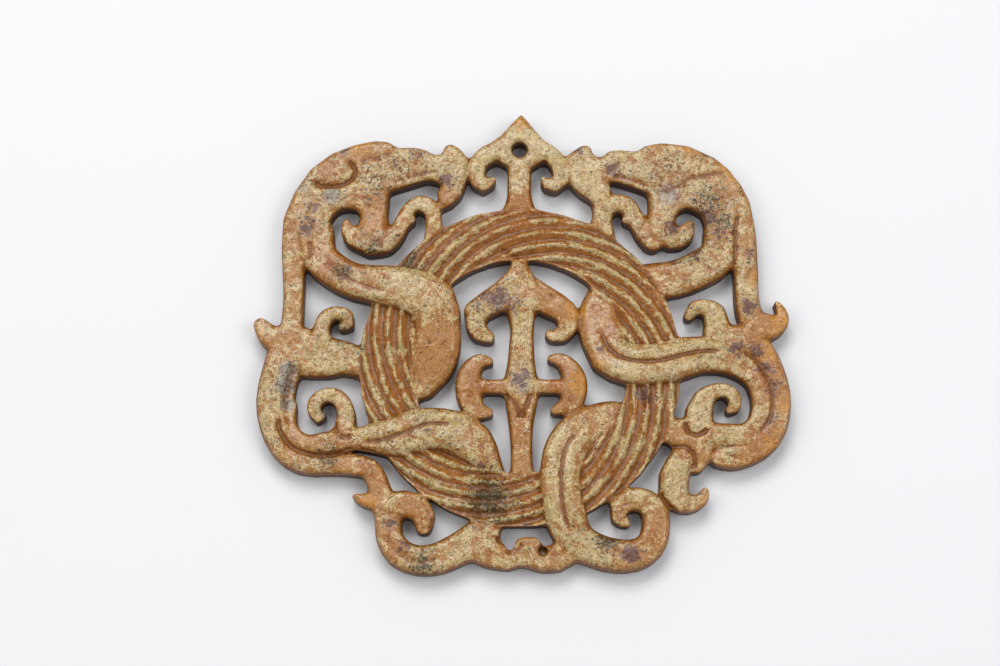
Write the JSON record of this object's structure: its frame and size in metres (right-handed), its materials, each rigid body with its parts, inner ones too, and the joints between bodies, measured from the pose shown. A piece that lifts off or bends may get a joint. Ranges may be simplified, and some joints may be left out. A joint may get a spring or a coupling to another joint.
{
  "type": "openwork jade dragon plaque",
  "caption": "Flat-backed openwork jade plaque: a twisted ring with two scrolling dragons wound through it, a scroll motif inside and a pointed finial with a hanging hole.",
  "frame": {"origin": "middle of the plaque's outline on the plane of its flat back", "axes": "+X along the width, +Y towards the pointed finial, +Z out of the carved face"},
  "size_m": [0.0798, 0.0694, 0.0061],
  "materials": {
    "jade": "mottled cream and orange-brown jade, polished, with darker recesses"
  },
  "bodies": {
    "root": {"jade_plaque": "jade"}
  },
  "joints": []
}
